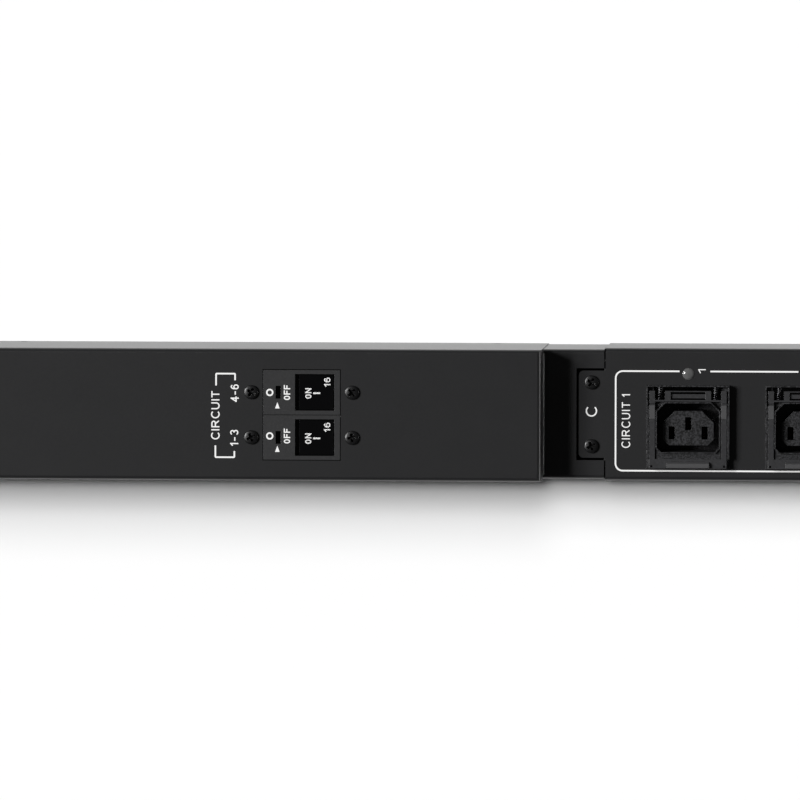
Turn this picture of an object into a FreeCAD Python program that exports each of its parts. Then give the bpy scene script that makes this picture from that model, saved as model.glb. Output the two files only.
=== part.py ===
import FreeCAD, Part
import math
import os

# Rack power distribution unit, zero-unit strip. Millimetres.
# X runs along the strip, Y across it, Z up from the back face to the outlets. X = Y = 0 is mid back face.

# Folded steel covers and tray
sheet = 1.2
bend_radius = 1.8
step_bend = 1.0
housing_length = 250.0
housing_width = 56.0
housing_depth = 70.0
foot_length = 26.0
foot_inset = 0.4
seam = 0.6
cover_proud = 0.2
cover_depth = 52.0
cover_end_margin = 40.0
tray_sheet = 1.5
tray_flange = 12.0
slide_fit = 0.1
head_sides = 8
small_sides = 6

# Circuits and outlets along the outlet cover
circuits = 6
outlets_per_circuit = 2
circuit_pitch = 108.0
outlet_pitch = 50.5
first_outlet = 35.2
outlet_y = -5.2
cutout_fit = 0.2

# End caps
cap_thickness = 3.0
cap_rim = 3.0
cap_rim_wall = 2.0
cap_edge = 1.5

# Tab of the outlet cover, lying in a notch of the breaker cover's foot
tab_length = 11.4
tab_width = 37.2
tab_corner = 2.0
notch_gap = 1.0
tab_screw_inset = 5.4
tab_screw_spread = 27.2
end_screw_inset = 9.0
head_diameter = 6.0
head_height = 1.3
shank_diameter = 3.0
shank_length = 6.0
hole_fit = 0.2

# Inverted-U brackets that carry the cover ends
bracket_sheet = 1.5
bracket_inset = 2.4
bracket_lap = 8.0
bracket_relief = 0.6
end_bracket_length = 11.0
end_bracket_inset = 4.0

# Round mounting holes in the tray web
mount_spacing = 760.0
mount_hole = 6.5

# Side screws of the breaker cover, countersunk flush with its skirts
side_screw_height = 7.0
side_screw_inset = 22.0
side_head = 5.6
side_head_depth = 1.1
side_shank = 2.8
side_shank_length = 5.0

# Guarded rocker breakers
breaker_setback = 101.75
pole_pitch = 19.2
breaker_length = 32.7
breaker_width = 19.0
breaker_depth = 42.0
breaker_proud = 0.3
breaker_window_fit = 0.3
guard_thickness = 2.0
ear_edge = 3.05
ear_thickness = 2.0
ear_width = 18.0
ear_screw_reach = 21.45
rocker_window_length = 16.75
rocker_window_width = 15.5
rocker_window_shift = 5.57
tool_slot_length = 2.2
tool_slot_width = 5.4
tool_slot_shift = -9.95
rocker_well_depth = 13.0
rocker_well_room = 1.8
rocker_side_gap = 0.3
rocker_end_gap = 0.55
rocker_start = 1.8
rocker_neck = 1.2
rocker_top = 0.6
rocker_slope = 8.0
rocker_thickness = 3.4
rocker_axle_depth = 5.5
rocker_hub = 2.8
rocker_arm_reach = 9.6
rocker_arm_top = 0.5
rocker_arm_thickness = 2.6
trunnion_radius = 1.2
trunnion_length = 1.1
trunnion_fit = 0.05
terminal_width = 6.3
terminal_thickness = 0.8
terminal_sink = 7.0
terminal_spread = 22.0

# Locking outlet, heights measured from the cover face
outlet_floor = 1.5
outlet_rim = 4.2
outlet_depth = 24.0
rear_wall = 1.4
side_wall = 0.5
top_wall = 0.6
lip_reach = 0.5
lip_thickness = 0.9
lip_end = 0.4
socket_half_length = 13.2
socket_low = -10.6
socket_high = 10.2
socket_top_cut = 3.6
socket_bottom_cut = 1.8
socket_wall = 0.55
socket_floor = 16.5
plug_gap_side = 2.4
plug_gap_low = 2.7
plug_gap_high = 3.5
core_top_cut = 5.0
core_bottom_cut = 2.5
core_sink = 0.9
slot_length = 2.6
slot_width = 5.5
pin_spread = 7.0
live_row = -2.65
earth_row = 1.35

# Lock frame that slides across the outlet against two springs
frame_fit = 0.2
frame_bar_fit = 0.3
frame_travel = 1.5
frame_spare = 0.85
ledge_drop = 1.0
ledge_lap = 0.3
arm_width = 2.35
panel_width = 4.1
rail_thickness = 0.7
top_strip = 0.5
grip_post = 2.4
grip_gap_low = 0.65
grip_gap_high = 0.9
grip_bar_height = 3.2
frame_groove = 0.8
pad_length = 5.8
pad_rise = 0.4
thumb_half_length = 9.0
thumb_edge = 0.2
thumb_inset = 1.1
thumb_height = 6.0
thumb_slope = 0.8
key_hole_inset = 0.5
key_hole_size = 0.9
key_hole_depth = 1.6

# Lock springs
spring_length = 5.55
spring_spread = 11.8
spring_diameter = 3.2
spring_height = 2.6
spring_room = 0.4

# Indicators
lamp_y = 17.35
lamp_diameter = 5.0
lamp_rise = 0.9
lamp_crown = 2.6
lamp_pipe = 2.8
board_width = 6.8
board_thickness = 1.6
board_lap = 3.0

# Copper bars behind the outlets
bar_thickness = 1.5
bar_width = 4.6
bar_row_gap = 3.0
bar_level_drop = 5.0
finger_width = 1.9
leaf_thickness = 0.5
leaf_width = 4.6
leaf_reach = 9.0
bar_overhang = 6.0

# Cable gland in the left end cap
gland_height = 35.0
gland_bore = 8.0
gland_thread = 12.5
gland_flange_flats = 33.0
gland_flange = 6.0
gland_inner_reach = 10.0
gland_neck = 11.4
gland_neck_recess = 1.5
gland_nut_flats = 30.0
gland_nut_length = 17.0
gland_nut_fit = 0.3
gland_dome = 4.0
gland_dome_lip = 1.3
locknut_flats = 31.0
locknut_length = 5.0
gland_sides = 12

# Widths that follow the housing
foot_width = housing_width - 2 * foot_inset
cover_width = housing_width + 2 * cover_proud

# Places along the strip
outlet_run = (circuits - 1) * circuit_pitch + (outlets_per_circuit - 1) * outlet_pitch
cover_length = first_outlet + outlet_run + cover_end_margin
unit_length = 2 * cap_thickness + housing_length + foot_length + seam + cover_length
x_left = -unit_length / 2
x_housing = x_left + cap_thickness
x_step = x_housing + housing_length
x_foot = x_step + foot_length
x_cover = x_foot + seam
x_end = x_cover + cover_length
tray_width = min(foot_width, housing_width, cover_width) - 2 * sheet - 2 * slide_fit
under_cover = cover_depth - sheet
under_housing = housing_depth - sheet
breaker_x = x_step - breaker_setback
socket_bar_z = cover_depth - outlet_depth
terminal_tip = socket_bar_z - bar_level_drop - bar_thickness
terminal_drop = housing_depth + breaker_proud - breaker_depth - terminal_tip

trunnion_hole = (trunnion_radius + trunnion_fit) / math.cos(math.pi / small_sides)

# Places across an outlet, from its centre
rail_low = socket_high + socket_wall + frame_fit
rail_top = rail_low + rail_thickness
spring_wall = rail_top + spring_length
outlet_high = spring_wall + top_wall
frame_top = spring_wall - frame_travel - frame_fit
panel_high = socket_low - socket_wall - frame_travel - frame_spare
frame_low = panel_high - panel_width
outlet_low = frame_low - frame_fit
ledge_top = outlet_rim - ledge_drop
arm_in = socket_half_length + socket_wall + frame_bar_fit
arm_out = arm_in + arm_width
lip_in = arm_out + frame_fit
wall_in = lip_in + lip_reach
outlet_half_length = wall_in + side_wall
groove_low = socket_high - frame_groove
centre_half_length = spring_spread - spring_diameter / 2 - spring_room
rear_half_length = socket_half_length + rear_wall
rear_low = socket_low - rear_wall
rear_high = socket_high + rear_wall
outlet_places = [
    x_cover + first_outlet + c * circuit_pitch + n * outlet_pitch
    for c in range(circuits)
    for n in range(outlets_per_circuit)
]


def block(x0, x1, y0, y1, z0, z1):
    """Box between two corners."""
    return Part.makeBox(x1 - x0, y1 - y0, z1 - z0, FreeCAD.Vector(x0, y0, z0))


def cylinder(radius, length, start, axis):
    """Round bar from a start point along an axis."""
    return Part.makeCylinder(radius, length, FreeCAD.Vector(*start), FreeCAD.Vector(*axis))


def flat_face(corners):
    """Flat face inside a closed polygon."""
    return Part.Face(Part.makePolygon(corners + corners[:1]))


def faceted_taper(radius, end_radius, length, start, axis, sides):
    """Round piece, straight or tapered, with flat sides in place of its round."""
    turn = FreeCAD.Rotation(FreeCAD.Vector(0, 0, 1), FreeCAD.Vector(*axis))
    steps = [2 * math.pi * (k + 0.5) / sides for k in range(sides)]
    rings = []
    for ring_radius, height in ((radius, 0), (end_radius, length)):
        ring = [FreeCAD.Vector(ring_radius * math.cos(a), ring_radius * math.sin(a), height) for a in steps]
        rings.append([FreeCAD.Vector(*start) + turn.multVec(p) for p in ring])
    near, far = rings
    outlines = [[near[k - 1], near[k], far[k], far[k - 1]] for k in range(sides)] + rings
    return Part.Solid(Part.Shell([flat_face(outline) for outline in outlines]))


def small_rod(radius, length, start, axis):
    """Small repeated round piece, such as a screw's shank, its hole or a spring, with few sides."""
    return faceted_taper(radius, radius, length, start, axis, small_sides)


def gland_rod(radius, length, start, axis):
    """Thread, neck or hole of the cable gland."""
    return faceted_taper(radius, radius, length, start, axis, gland_sides)


def prism(points, direction):
    """Closed polygon swept along a straight direction."""
    return flat_face([FreeCAD.Vector(*p) for p in points]).extrude(FreeCAD.Vector(*direction))


def fuse(shapes):
    """One solid from touching or overlapping shapes, with shared faces merged."""
    return shapes[0].multiFuse(shapes[1:]).removeSplitter()


def moved(shape, x, y, z):
    """Copy of a shape at another place."""
    copy = shape.copy()
    copy.translate(FreeCAD.Vector(x, y, z))
    return copy


def long_top_edges(shape, z):
    """Straight edges along X at one height."""
    return [
        e
        for e in shape.Edges
        if abs(e.Vertexes[0].Z - z) < 1e-6
        and abs(e.Vertexes[-1].Z - z) < 1e-6
        and abs(e.Vertexes[0].Y - e.Vertexes[-1].Y) < 1e-6
    ]


def upright_edges(shape):
    """Straight edges along Z."""
    return [e for e in shape.Edges if abs(e.tangentAt(e.FirstParameter).z) > 1 - 1e-6]


def channel(x0, x1, width, depth, radius):
    """Solid bar of a cover's outside, with its two long bends rounded."""
    bar = block(x0, x1, -width / 2, width / 2, 0, depth)
    return bar.makeFillet(radius, long_top_edges(bar, depth))


def hexagon(flats, length, start, axis):
    """Hexagonal bar along -X or +X."""
    reach = flats / math.sqrt(3)
    angles = [math.radians(60 * k + 30) for k in range(6)]
    points = [(start[0], start[1] + reach * math.cos(a), start[2] + reach * math.sin(a)) for a in angles]
    return prism(points, (axis * length, 0, 0))


def inner_bend():
    """Inside radius of a bend in the covers' sheet."""
    return max(bend_radius - sheet, sheet / 4)


def folded_cover(x0, x1, width, depth):
    """Inverted channel of bent sheet, open below and at both ends."""
    outside = channel(x0, x1, width, depth, bend_radius)
    inside = channel(x0, x1, width - 2 * sheet, depth - sheet, inner_bend())
    return outside.cut(inside)


def breaker_cover():
    """Raised housing with a stepped foot, folded from one sheet."""
    high = block(x_housing, x_step, -housing_width / 2, housing_width / 2, 0, housing_depth)
    top_rim = long_top_edges(high, housing_depth)
    end_rim = [
        e
        for e in high.Edges
        if all(abs(v.X - x_step) < 1e-6 and abs(v.Z - housing_depth) < 1e-6 for v in e.Vertexes)
    ]
    high = high.makeFillet(bend_radius, top_rim + end_rim)
    low = channel(x_step - bend_radius, x_foot, foot_width, cover_depth, bend_radius)
    outside = high.fuse(low)
    inside_high = channel(x_housing, x_step - sheet, housing_width - 2 * sheet, under_housing, inner_bend())
    inside_low = channel(x_step - bend_radius, x_foot, foot_width - 2 * sheet, under_cover, inner_bend())
    shell = outside.cut(inside_high.fuse(inside_low))
    fold = block(x_step, x_step + step_bend, -foot_width / 2 + bend_radius, foot_width / 2 - bend_radius,
                 cover_depth, cover_depth + step_bend)
    hollow = cylinder(step_bend, foot_width, (x_step + step_bend, -foot_width / 2, cover_depth + step_bend),
                      (0, 1, 0))
    shell = shell.fuse(fold.cut(hollow))
    notch_half = tab_width / 2 + notch_gap
    notch = block(x_cover - tab_length - notch_gap, x_foot, -notch_half, notch_half, under_cover - sheet,
                  cover_depth)
    window_half_y = (pole_pitch + breaker_width) / 2 + breaker_window_fit
    window_half_x = breaker_length / 2 + breaker_window_fit
    window = block(breaker_x - window_half_x, breaker_x + window_half_x, -window_half_y, window_half_y,
                   under_housing - sheet, housing_depth)
    holes = [
        small_rod(shank_diameter / 2 + hole_fit, 2 * sheet, (x, y, housing_depth - 1.5 * sheet), (0, 0, 1))
        for x, y in breaker_screw_places()
    ]
    holes += side_screws(hole_fit)
    return shell.cut(notch).cut(window).cut(holes[0].multiFuse(holes[1:])).removeSplitter()


def breaker_screw_places():
    """Four screws that hold the ears of the two breakers."""
    return [
        (breaker_x + side * ear_screw_reach, row * pole_pitch / 2) for side in (-1, 1) for row in (-1, 1)
    ]


def cover_screw_places():
    """Two screws in the tab and two at the far end of the outlet cover."""
    tab_x = x_cover - tab_length + tab_screw_inset
    return [(x, side * tab_screw_spread / 2) for x in (tab_x, x_end - end_screw_inset) for side in (-1, 1)]


def outlet_cover():
    """Long folded cover with its tab, outlet cut-outs and indicator holes."""
    shell = folded_cover(x_cover, x_end, cover_width, cover_depth)
    tab = block(x_cover - tab_length, x_cover, -tab_width / 2, tab_width / 2, under_cover, cover_depth)
    corners = [e for e in upright_edges(tab) if e.Vertexes[0].X < x_cover - tab_length / 2]
    shell = shell.fuse(tab.makeFillet(tab_corner, corners))
    below = under_cover - sheet
    cuts = []
    for x in outlet_places:
        cuts.append(block(x - rear_half_length - cutout_fit, x + rear_half_length + cutout_fit,
                          outlet_y + rear_low - cutout_fit, outlet_y + spring_wall, below, cover_depth))
        pipe_half = lamp_pipe / 2 + hole_fit
        cuts.append(block(x - pipe_half, x + pipe_half, lamp_y - pipe_half, lamp_y + pipe_half,
                          below, cover_depth))
    for x, y in cover_screw_places():
        cuts.append(small_rod(shank_diameter / 2 + hole_fit, 2 * sheet, (x, y, below), (0, 0, 1)))
    return shell.cut(cuts[0].multiFuse(cuts[1:])).removeSplitter()


def side_screw(x, side, room):
    """Countersunk screw through a skirt into the tray flange, grown by room for its hole."""
    face = side * housing_width / 2
    tip = housing_width / 2 - tray_width / 2 + side_shank_length
    place = (x, face, side_screw_height)
    inward = (0, -side, 0)
    radius = side_shank / 2 + room
    head = faceted_taper(side_head / 2 + room, radius, side_head_depth, place, inward, head_sides)
    shank = faceted_taper(radius, radius, tip, place, inward, head_sides)
    return head.fuse(shank).removeSplitter()


def side_screws(room):
    """The four side screws of the breaker cover, near its two ends."""
    places = (x_housing + side_screw_inset, x_step - side_screw_inset)
    return [side_screw(x, side, room) for x in places for side in (-1, 1)]


def chassis_tray():
    """Back tray with upturned flanges inside the skirts and two mounting holes."""
    half = tray_width / 2
    outside = block(x_housing, x_end, -half, half, 0, tray_flange)
    inside = block(x_housing, x_end, -half + tray_sheet, half - tray_sheet, tray_sheet, tray_flange)
    tray = outside.cut(inside)
    holes = [
        cylinder(mount_hole / 2, 2 * tray_sheet, (side * mount_spacing / 2, 0, -tray_sheet / 2), (0, 0, 1))
        for side in (-1, 1)
    ]
    return tray.cut(holes[0].multiFuse(holes[1:] + side_screws(hole_fit))).removeSplitter()


def bracket(x0, x1, screw_holes):
    """Inverted U of sheet that stands on the tray and carries the front sheets."""
    half = tray_width / 2 - tray_sheet - bracket_inset
    outside = block(x0, x1, -half, half, tray_sheet, under_cover)
    inside = block(x0, x1, -half + bracket_sheet, half - bracket_sheet, tray_sheet,
                   under_cover - bracket_sheet)
    holes = [
        small_rod(shank_diameter / 2 + hole_fit / 2, 2 * bracket_sheet,
                  (x, y, under_cover - 1.5 * bracket_sheet), (0, 0, 1))
        for x, y in screw_holes
    ]
    return outside.cut(inside).cut(holes[0].fuse(holes[1]))


def bridge_bracket():
    """Bracket under the step, with a tongue under the tab that a clear slot parts from the foot's seat."""
    shape = bracket(x_step + bend_radius, x_cover + bracket_lap, cover_screw_places()[:2])
    tongue_half = tab_width / 2 - bracket_relief
    slot_half = tab_width / 2 + notch_gap + bracket_relief
    x_slot = x_cover - tab_length - notch_gap - bracket_relief
    x_tongue = x_cover - tab_length + bracket_relief
    low, high = under_cover - bracket_sheet, under_cover
    slot = block(x_slot, x_foot, -slot_half, slot_half, low, high)
    tongue = block(x_tongue, x_foot, -tongue_half, tongue_half, low, high)
    return shape.cut(slot.cut(tongue))


def end_cap(x_face, side, width, depth):
    """Moulded cap: a rounded plate with a rim that plugs the cover."""
    outer = x_face + side * cap_thickness
    plate = block(min(x_face, outer), max(x_face, outer), -width / 2, width / 2, 0, depth)
    rounded = [e for e in plate.Edges if all(abs(v.X - outer) < 1e-6 for v in e.Vertexes)]
    plate = plate.makeFillet(cap_edge, [e for e in rounded if min(v.Z for v in e.Vertexes) > 0
                                        or abs(e.Vertexes[0].Z - e.Vertexes[1].Z) > 1e-6])
    half = width / 2 - sheet - slide_fit
    top = depth - sheet - slide_fit
    inner = x_face - side * cap_rim
    low, high = min(x_face, inner), max(x_face, inner)
    rim = channel(low, high, 2 * half, top, inner_bend())
    rim = rim.cut(block(low, high, -half, half, 0, tray_flange + slide_fit))
    room = block(low, high, -half + cap_rim_wall, half - cap_rim_wall, tray_flange, top - cap_rim_wall)
    return fuse([plate, rim.cut(room)])


def gland_parts():
    """Gland body through the left cap, its domed nut outside and its locknut inside."""
    y, z = 0, gland_height
    flange_x = x_left - gland_flange
    flange = hexagon(gland_flange_flats, gland_flange, (flange_x, y, z), 1)
    inner = gland_rod(gland_thread, cap_thickness + gland_inner_reach, (x_left, y, z), (1, 0, 0))
    neck_length = gland_nut_length - gland_neck_recess
    neck = gland_rod(gland_neck, neck_length, (flange_x, y, z), (-1, 0, 0))
    whole = neck_length + gland_flange + cap_thickness + gland_inner_reach
    bore = cylinder(gland_bore, whole, (flange_x - neck_length, y, z), (1, 0, 0))
    body = fuse([flange, inner, neck]).cut(bore)
    nut = hexagon(gland_nut_flats, gland_nut_length - gland_dome, (flange_x, y, z), -1)
    dome_x = flange_x - gland_nut_length + gland_dome
    hollow_radius = gland_neck + gland_nut_fit
    dome = faceted_taper(gland_nut_flats / 2, hollow_radius + gland_dome_lip, gland_dome, (dome_x, y, z),
                         (-1, 0, 0), gland_sides)
    hollow = gland_rod(hollow_radius, gland_nut_length, (flange_x, y, z), (-1, 0, 0))
    nut = fuse([nut, dome]).cut(hollow)
    locknut = hexagon(locknut_flats, locknut_length, (x_housing, y, z), 1)
    locknut = locknut.cut(gland_rod(gland_thread + slide_fit, locknut_length, (x_housing, y, z), (1, 0, 0)))
    return body, nut, locknut


def left_end_cap():
    """Left cap with the gland's hole."""
    hole = gland_rod(gland_thread + slide_fit, cap_thickness, (x_left, 0, gland_height), (1, 0, 0))
    return end_cap(x_housing, -1, housing_width, housing_depth).cut(hole)


def pan_screw(x, y, z):
    """Screw with a flat pan head and a plain shank."""
    radius = head_diameter / 2
    head = faceted_taper(radius, radius, head_height, (x, y, z), (0, 0, 1), head_sides)
    shank = small_rod(shank_diameter / 2, shank_length, (x, y, z - shank_length), (0, 0, 1))
    return fuse([head, shank])


def breaker_body():
    """Breaker case about its face centre, z = 0 at its face: guard, rocker well, ears and axle holes."""
    half_x, half_y = breaker_length / 2, breaker_width / 2
    case = block(-half_x, half_x, -half_y, half_y, -breaker_depth, 0)
    ear_top = -breaker_proud - sheet
    ear_half = ear_screw_reach + ear_edge
    ears = block(-ear_half, ear_half, -ear_width / 2, ear_width / 2, ear_top - ear_thickness, ear_top)
    window_x0 = rocker_window_shift - rocker_window_length / 2
    window_x1 = rocker_window_shift + rocker_window_length / 2
    half_window = rocker_window_width / 2
    window = block(window_x0, window_x1, -half_window, half_window, -rocker_well_depth, 0)
    well_x0 = window_x0 - rocker_arm_reach - rocker_well_room
    well = block(well_x0, window_x1, -half_window, half_window, -rocker_well_depth, -guard_thickness)
    tool_half = tool_slot_length / 2
    slot = block(tool_slot_shift - tool_half, tool_slot_shift + tool_half, -tool_slot_width / 2,
                 tool_slot_width / 2, -guard_thickness, 0)
    reach = half_window + trunnion_length
    axle = small_rod(trunnion_hole, 2 * reach, (window_x0, -reach, -rocker_axle_depth), (0, 1, 0))
    screws = [
        small_rod(shank_diameter / 2 + hole_fit / 2, 2 * ear_thickness,
                  (side * ear_screw_reach, 0, ear_top - 1.5 * ear_thickness), (0, 0, 1))
        for side in (-1, 1)
    ]
    blades = [moved(terminal(), side * terminal_spread / 2, 0, 0) for side in (-1, 1)]
    return fuse([case, ears]).cut(window.multiFuse([well, slot, axle] + screws + blades))


def terminal():
    """Blade terminal, sunk in a breaker's case and reaching down beside the line bars."""
    return block(-terminal_thickness / 2, terminal_thickness / 2, -terminal_width / 2, terminal_width / 2,
                 -breaker_depth - terminal_drop, -breaker_depth + terminal_sink)


def breaker_rocker():
    """Rocker about its axle: the ON face beside the guard and an OFF arm under it."""
    half = rocker_window_width / 2 - rocker_side_gap
    fall = math.tan(math.radians(rocker_slope))
    start_z = rocker_axle_depth - rocker_top
    end_x = rocker_window_length - rocker_end_gap
    end_z = start_z - (end_x - rocker_start) * fall
    arm_z = rocker_axle_depth - guard_thickness - rocker_arm_top
    outline = [
        (rocker_start, start_z),
        (end_x, end_z),
        (end_x, end_z - rocker_thickness),
        (rocker_start, -rocker_hub),
        (-rocker_start, -rocker_hub),
        (-rocker_arm_reach, arm_z - rocker_arm_thickness),
        (-rocker_arm_reach, arm_z),
        (rocker_neck, arm_z),
    ]
    paddle = prism([(x, -half, z) for x, z in outline], (0, 2 * half, 0))
    reach = rocker_window_width / 2 + trunnion_length - trunnion_fit
    trunnions = small_rod(trunnion_radius, 2 * reach, (0, -reach, 0), (0, 1, 0))
    return fuse([paddle, trunnions])


def cut_outline(half, low, high, top_cut, bottom_cut, grow, z):
    """Socket outline with cut corners, grown evenly by a wall."""
    slack = grow * (2 - math.sqrt(2))
    top, bottom = top_cut + slack, bottom_cut + slack
    half, low, high = half + grow, low - grow, high + grow
    return [
        (-half, low + bottom, z), (-half + bottom, low, z), (half - bottom, low, z), (half, low + bottom, z),
        (half, high - top, z), (half - top, high, z), (-half + top, high, z), (-half, high - top, z),
    ]


def socket_prism(grow, z0, z1):
    """Plug opening of the socket, or its tube when grown by the wall."""
    outline = cut_outline(socket_half_length, socket_low, socket_high, socket_top_cut, socket_bottom_cut,
                          grow, z0)
    return prism(outline, (0, 0, z1 - z0))


def pin_places():
    """Line, neutral and earth contact places about the outlet centre."""
    return [(-pin_spread, live_row), (pin_spread, live_row), (0, earth_row)]


def outlet_body():
    """Outlet about its centre, z = 0 at the cover face: flange, socket tube, core, ledge and lips."""
    half = outlet_half_length
    tube_half = socket_half_length + socket_wall
    flange = block(-half, half, outlet_low, outlet_high, 0, outlet_floor)
    flange = flange.cut(block(-rear_half_length, rear_half_length, rear_high, spring_wall, 0, outlet_floor))
    solids = [
        block(-tube_half, tube_half, panel_high - ledge_lap, socket_low + socket_bottom_cut, outlet_floor,
              ledge_top),
        block(-rear_half_length, rear_half_length, rear_low, rear_high, -outlet_depth, 0),
        block(-half, half, spring_wall, outlet_high, outlet_floor, outlet_rim),
        socket_prism(socket_wall, outlet_floor, outlet_rim),
    ]
    for side in (-1, 1):
        wall = sorted((side * wall_in, side * half))
        solids.append(block(*wall, panel_high, spring_wall, outlet_floor, outlet_rim))
        lip = sorted((side * lip_in, side * wall_in))
        solids.append(block(*lip, panel_high, groove_low - lip_end, outlet_rim - lip_thickness, outlet_rim))
    shell = fuse([flange] + solids).cut(socket_prism(0, -socket_floor, outlet_rim))
    core = cut_outline(socket_half_length - plug_gap_side, socket_low + plug_gap_low,
                       socket_high - plug_gap_high, core_top_cut, core_bottom_cut, 0, -socket_floor)
    shell = shell.fuse(prism(core, (0, 0, socket_floor - core_sink)))
    slots = [
        block(u - slot_length / 2, u + slot_length / 2, v - slot_width / 2, v + slot_width / 2,
              -outlet_depth, 0)
        for u, v in pin_places()
    ]
    return shell.cut(slots[0].multiFuse(slots[1:])).removeSplitter()


def lock_frame():
    """Sliding ring round the socket tube: arms, thumb panel, spring rail and grip window."""
    base = outlet_floor + frame_fit
    tongue_out = wall_in - frame_fit
    tongue_top = outlet_rim - lip_thickness - frame_fit
    solids = [
        block(-arm_out, arm_out, frame_low, panel_high, base, outlet_rim),
        block(-arm_out, arm_out, rail_low, rail_top, base, outlet_rim),
        block(-centre_half_length, centre_half_length, rail_low, frame_top, base, outlet_rim),
    ]
    rebate_low = panel_high - ledge_lap - frame_travel - frame_fit
    cuts = [block(-arm_in, arm_in, rebate_low, panel_high, base, ledge_top + frame_fit)]
    key_out = arm_out - key_hole_inset
    key_low = frame_low + key_hole_inset
    for side in (-1, 1):
        arm = sorted((side * arm_in, side * arm_out))
        solids.append(block(*arm, frame_low, frame_top, base, outlet_rim))
        solids.append(block(*arm, groove_low - pad_length, groove_low, base, outlet_rim + pad_rise))
        tongue = sorted((side * arm_in, side * tongue_out))
        solids.append(block(*tongue, frame_low, frame_top, base, tongue_top))
        cuts.append(block(*arm, groove_low, socket_high, tongue_top, outlet_rim))
        key = sorted((side * key_out, side * (key_out - key_hole_size)))
        cuts.append(block(*key, key_low, key_low + key_hole_size, outlet_rim - key_hole_depth, outlet_rim))
    window_half = centre_half_length - grip_post
    window_top = frame_top - top_strip
    window = block(-window_half, window_half, rail_top, window_top, base, outlet_rim)
    bar = block(-window_half, window_half, rail_top + grip_gap_low, window_top - grip_gap_high, base,
                grip_bar_height)
    cuts.append(window.cut(bar))
    thumb_low = frame_low + thumb_edge
    thumb_high = panel_high - thumb_inset
    thumb = [
        (-thumb_half_length, thumb_low, outlet_rim), (-thumb_half_length, thumb_high, outlet_rim),
        (-thumb_half_length, thumb_high - thumb_slope, thumb_height),
        (-thumb_half_length, thumb_low + thumb_slope / 2, thumb_height),
    ]
    solids.append(prism(thumb, (2 * thumb_half_length, 0, 0)))
    return fuse(solids).cut(cuts[0].multiFuse(cuts[1:]))


def lock_springs():
    """Two coil springs between the frame's rail and the outlet's head wall, as their outer round."""
    return Part.makeCompound([
        small_rod(spring_diameter / 2, spring_length, (side * spring_spread, rail_top, spring_height),
                  (0, 1, 0))
        for side in (-1, 1)
    ])


def indicator_lens(x):
    """Crowned lens that sits on the cover, with its square light pipe down to the board."""
    crown = faceted_taper(lamp_diameter / 2, lamp_crown / 2, lamp_rise, (x, lamp_y, cover_depth), (0, 0, 1),
                          head_sides)
    half = lamp_pipe / 2
    pipe = block(x - half, x + half, lamp_y - half, lamp_y + half, under_cover - bracket_sheet, cover_depth)
    return fuse([crown, pipe])


def indicator_board():
    """Lamp board hung under the two brackets, behind the lenses."""
    top = under_cover - bracket_sheet
    x_far = x_end - end_bracket_inset - end_bracket_length
    return block(x_cover + bracket_lap - board_lap, x_far + board_lap, lamp_y - board_width / 2,
                 lamp_y + board_width / 2, top - board_thickness, top)


def busbar(x_start, places, pin, row_low, top):
    """Copper strip along X, with a finger at each outlet whose spring leaf enters the slot from behind."""
    x_stop = places[-1] + pin[0] + bar_overhang
    strip = block(x_start, x_stop, row_low, row_low + bar_width, top - bar_thickness, top)
    solids = [strip]
    for place in places:
        x, y = place + pin[0], outlet_y + pin[1]
        leaf_low, leaf_high = y - leaf_width / 2, y + leaf_width / 2
        low, high = min(row_low, leaf_low), max(row_low + bar_width, leaf_high)
        x_side = x - finger_width / 2
        solids.append(block(x_side, x_side + finger_width, low, high, top - bar_thickness, top))
        solids.append(block(x_side, x_side + leaf_thickness, leaf_low, leaf_high, top - bar_thickness,
                            socket_bar_z + leaf_reach))
    return fuse(solids)


def busbars():
    """Two line bars, one for each breaker, with the neutral and the earth bar."""
    line, neutral, earth = pin_places()
    near = socket_bar_z
    far = socket_bar_z - bar_level_drop
    line_row = outlet_y + live_row - leaf_width / 2 - bar_row_gap - bar_width / 2
    neutral_row = outlet_y + earth_row + slot_width / 2 + bar_row_gap / 2
    earth_row_low = outlet_y + earth_row - bar_width / 2
    half = len(outlet_places) // 2
    x_load = breaker_x + terminal_spread / 2 + terminal_thickness / 2
    tail_low = line_row + bar_width
    tail_high = pole_pitch / 2 + terminal_width / 2
    line_2 = busbar(x_load, outlet_places[half:], line, line_row, far)
    tail = block(x_load, x_load + bar_width, tail_low, tail_high, far - bar_thickness, far)
    return {
        "busbar_line_1": busbar(x_load, outlet_places[:half], line, line_row, near),
        "busbar_line_2": fuse([line_2, tail]),
        "busbar_neutral": busbar(x_step, outlet_places, neutral, neutral_row, near),
        "busbar_earth": busbar(x_step, outlet_places, earth, earth_row_low, far - bar_level_drop),
    }


def save(name, shape):
    """Write one named piece."""
    shape.exportStep(f"parts/{name}.step")


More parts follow.
